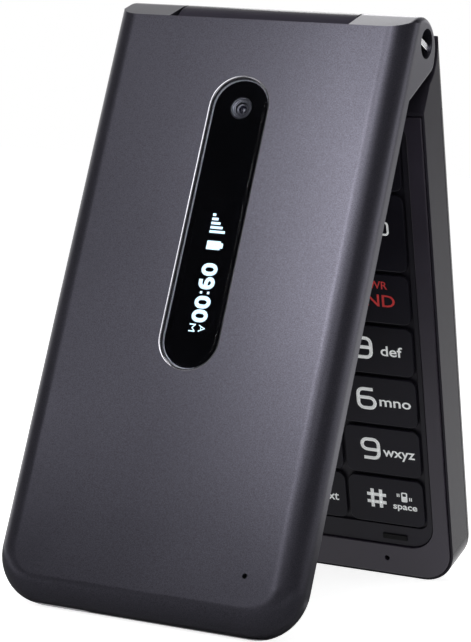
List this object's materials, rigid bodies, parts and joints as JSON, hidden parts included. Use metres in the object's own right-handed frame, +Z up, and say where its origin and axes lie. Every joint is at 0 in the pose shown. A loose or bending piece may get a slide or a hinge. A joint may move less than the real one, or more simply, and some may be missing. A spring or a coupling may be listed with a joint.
{
  "type": "flip phone",
  "caption": "Folding mobile phone with keypad base and display lid, standing part-open on its free ends; hinge, keys, rocker, battery and cover move",
  "frame": {"origin": "floor point under the middle of the bounding box, where both free ends stand", "axes": "+X across the phone towards its strap side, +Z up, the lid on the -Y side and the keypad base on the +Y side"},
  "size_m": [0.0566, 0.0846, 0.1036],
  "materials": {
    "lid_paint": "satin metallic paint on moulded plastic",
    "lid_frame_plastic": "fine matte moulding",
    "window_dark": "dark tinted gloss window",
    "display": "display panel",
    "lens_glass": "coated lens",
    "board_parts": "black moulded component",
    "circuit_board": "solder mask",
    "steel": "bright turned or stamped",
    "bright_metal": "plated",
    "rubber": "soft matte",
    "frame_plastic": "fine matte moulding",
    "rear_plastic": "satin metallic paint on moulded plastic",
    "keypad_plastic": "semi-gloss",
    "key_gloss": "semi-gloss with printed legends",
    "film": "polyimide film",
    "battery_case": "wrapped lithium cell"
  },
  "bodies": {
    "lid": {"lid_cover": "lid_paint", "lid_bezel": "lid_frame_plastic", "outer_window": "window_dark", "outer_display": "display", "camera_module": "board_parts", "camera_lens": "lens_glass", "main_display_window": "window_dark", "main_display": "display", "lid_board": "circuit_board", "earpiece": "board_parts", "lid_screws": "steel", "lid_bumpers": "rubber", "strap_bar": "bright_metal", "hinge_end_cap": "lid_frame_plastic", "hinge_cam": "steel", "hinge_shaft": "steel"},
    "base": {"base_front": "frame_plastic", "base_rear": "rear_plastic", "base_screws": "steel", "dome_sheet": "film", "main_board": "circuit_board", "shield_cans": "bright_metal", "battery_contacts": "board_parts", "card_slot": "bright_metal", "charge_port": "bright_metal", "headset_jack": "board_parts", "microphone": "board_parts", "loudspeaker": "board_parts", "vibration_motor": "steel", "keypad_panel": "keypad_plastic", "keypad_bumpers": "rubber", "hinge_cartridge": "steel", "hinge_spring": "steel", "hinge_bush": "board_parts", "hinge_flex": "film"},
    "soft_key_left": {"soft_key_left": "key_gloss"},
    "soft_key_right": {"soft_key_right": "key_gloss"},
    "message_key": {"message_key": "key_gloss"},
    "camera_key": {"camera_key": "key_gloss"},
    "send_key": {"send_key": "key_gloss"},
    "clear_key": {"clear_key": "key_gloss"},
    "end_key": {"end_key": "key_gloss"},
    "ok_key": {"ok_key": "key_gloss"},
    "key_one": {"key_one": "key_gloss"},
    "key_two": {"key_two": "key_gloss"},
    "key_three": {"key_three": "key_gloss"},
    "key_four": {"key_four": "key_gloss"},
    "key_five": {"key_five": "key_gloss"},
    "key_six": {"key_six": "key_gloss"},
    "key_seven": {"key_seven": "key_gloss"},
    "key_eight": {"key_eight": "key_gloss"},
    "key_nine": {"key_nine": "key_gloss"},
    "key_star": {"key_star": "key_gloss"},
    "key_zero": {"key_zero": "key_gloss"},
    "key_hash": {"key_hash": "key_gloss"},
    "nav_plate": {"nav_plate": "steel"},
    "nav_ring": {"nav_ring": "key_gloss"},
    "volume_rocker": {"volume_rocker": "frame_plastic"},
    "battery_cover": {"battery_cover": "rear_plastic"},
    "battery": {"battery": "battery_case"}
  },
  "joints": [
    {"name": "lid_hinge", "type": "hinge", "parent": "base", "child": "lid", "pos_m": [0, -0.00252, 0.09743], "axis": [-1, 0, 0], "range_deg": [-39.5, 115.5]},
    {"name": "soft_key_left_press", "type": "slide", "parent": "base", "child": "soft_key_left", "axis": [0, 0.9355, 0.3534], "range_m": [0, 0.0003], "stiffness_N_per_m": 1500, "springref_m": -0.0003},
    {"name": "soft_key_right_press", "type": "slide", "parent": "base", "child": "soft_key_right", "axis": [0, 0.9355, 0.3534], "range_m": [0, 0.0003], "stiffness_N_per_m": 1500, "springref_m": -0.0003},
    {"name": "message_key_press", "type": "slide", "parent": "base", "child": "message_key", "axis": [0, 0.9355, 0.3534], "range_m": [0, 0.0003], "stiffness_N_per_m": 1500, "springref_m": -0.0003},
    {"name": "camera_key_press", "type": "slide", "parent": "base", "child": "camera_key", "axis": [0, 0.9355, 0.3534], "range_m": [0, 0.0003], "stiffness_N_per_m": 1500, "springref_m": -0.0003},
    {"name": "send_key_press", "type": "slide", "parent": "base", "child": "send_key", "axis": [0, 0.9355, 0.3534], "range_m": [0, 0.0003], "stiffness_N_per_m": 1500, "springref_m": -0.0003},
    {"name": "clear_key_press", "type": "slide", "parent": "base", "child": "clear_key", "axis": [0, 0.9355, 0.3534], "range_m": [0, 0.0003], "stiffness_N_per_m": 1500, "springref_m": -0.0003},
    {"name": "end_key_press", "type": "slide", "parent": "base", "child": "end_key", "axis": [0, 0.9355, 0.3534], "range_m": [0, 0.0003], "stiffness_N_per_m": 1500, "springref_m": -0.0003},
    {"name": "ok_key_press", "type": "slide", "parent": "base", "child": "ok_key", "axis": [0, 0.9355, 0.3534], "range_m": [0, 0.0003], "stiffness_N_per_m": 1500, "springref_m": -0.0003},
    {"name": "key_one_press", "type": "slide", "parent": "base", "child": "key_one", "axis": [0, 0.9355, 0.3534], "range_m": [0, 0.0003], "stiffness_N_per_m": 1500, "springref_m": -0.0003},
    {"name": "key_two_press", "type": "slide", "parent": "base", "child": "key_two", "axis": [0, 0.9355, 0.3534], "range_m": [0, 0.0003], "stiffness_N_per_m": 1500, "springref_m": -0.0003},
    {"name": "key_three_press", "type": "slide", "parent": "base", "child": "key_three", "axis": [0, 0.9355, 0.3534], "range_m": [0, 0.0003], "stiffness_N_per_m": 1500, "springref_m": -0.0003},
    {"name": "key_four_press", "type": "slide", "parent": "base", "child": "key_four", "axis": [0, 0.9355, 0.3534], "range_m": [0, 0.0003], "stiffness_N_per_m": 1500, "springref_m": -0.0003},
    {"name": "key_five_press", "type": "slide", "parent": "base", "child": "key_five", "axis": [0, 0.9355, 0.3534], "range_m": [0, 0.0003], "stiffness_N_per_m": 1500, "springref_m": -0.0003},
    {"name": "key_six_press", "type": "slide", "parent": "base", "child": "key_six", "axis": [0, 0.9355, 0.3534], "range_m": [0, 0.0003], "stiffness_N_per_m": 1500, "springref_m": -0.0003},
    {"name": "key_seven_press", "type": "slide", "parent": "base", "child": "key_seven", "axis": [0, 0.9355, 0.3534], "range_m": [0, 0.0003], "stiffness_N_per_m": 1500, "springref_m": -0.0003},
    {"name": "key_eight_press", "type": "slide", "parent": "base", "child": "key_eight", "axis": [0, 0.9355, 0.3534], "range_m": [0, 0.0003], "stiffness_N_per_m": 1500, "springref_m": -0.0003},
    {"name": "key_nine_press", "type": "slide", "parent": "base", "child": "key_nine", "axis": [0, 0.9355, 0.3534], "range_m": [0, 0.0003], "stiffness_N_per_m": 1500, "springref_m": -0.0003},
    {"name": "key_star_press", "type": "slide", "parent": "base", "child": "key_star", "axis": [0, 0.9355, 0.3534], "range_m": [0, 0.0003], "stiffness_N_per_m": 1500, "springref_m": -0.0003},
    {"name": "key_zero_press", "type": "slide", "parent": "base", "child": "key_zero", "axis": [0, 0.9355, 0.3534], "range_m": [0, 0.0003], "stiffness_N_per_m": 1500, "springref_m": -0.0003},
    {"name": "key_hash_press", "type": "slide", "parent": "base", "child": "key_hash", "axis": [0, 0.9355, 0.3534], "range_m": [0, 0.0003], "stiffness_N_per_m": 1500, "springref_m": -0.0003},
    {"name": "nav_tilt_up_down", "type": "hinge", "parent": "base", "child": "nav_plate", "pos_m": [0, 0.00692, 0.07186], "axis": [1, 0, 0], "range_deg": [-1, 1], "stiffness_Nm_per_rad": 0.3},
    {"name": "nav_tilt_sideways", "type": "hinge", "parent": "nav_plate", "child": "nav_ring", "pos_m": [0, 0.00692, 0.07186], "axis": [0, 0.3534, -0.9355], "range_deg": [-1, 1], "stiffness_Nm_per_rad": 0.3},
    {"name": "volume_rock", "type": "hinge", "parent": "base", "child": "volume_rocker", "pos_m": [-0.02765, 0.01466, 0.05902], "axis": [0, 0.9355, 0.3534], "range_deg": [-1.5, 1.5], "stiffness_Nm_per_rad": 0.2},
    {"name": "battery_cover_off", "type": "slide", "parent": "base", "child": "battery_cover", "axis": [0, 0.9355, 0.3534], "range_m": [0, 0.03]},
    {"name": "battery_out", "type": "slide", "parent": "base", "child": "battery", "axis": [0, 0.9355, 0.3534], "range_m": [0, 0.015]}
  ],
  "couplings": [
    {"joint": "battery_out", "follows": "battery_cover_off", "ratio": 0.5}
  ]
}
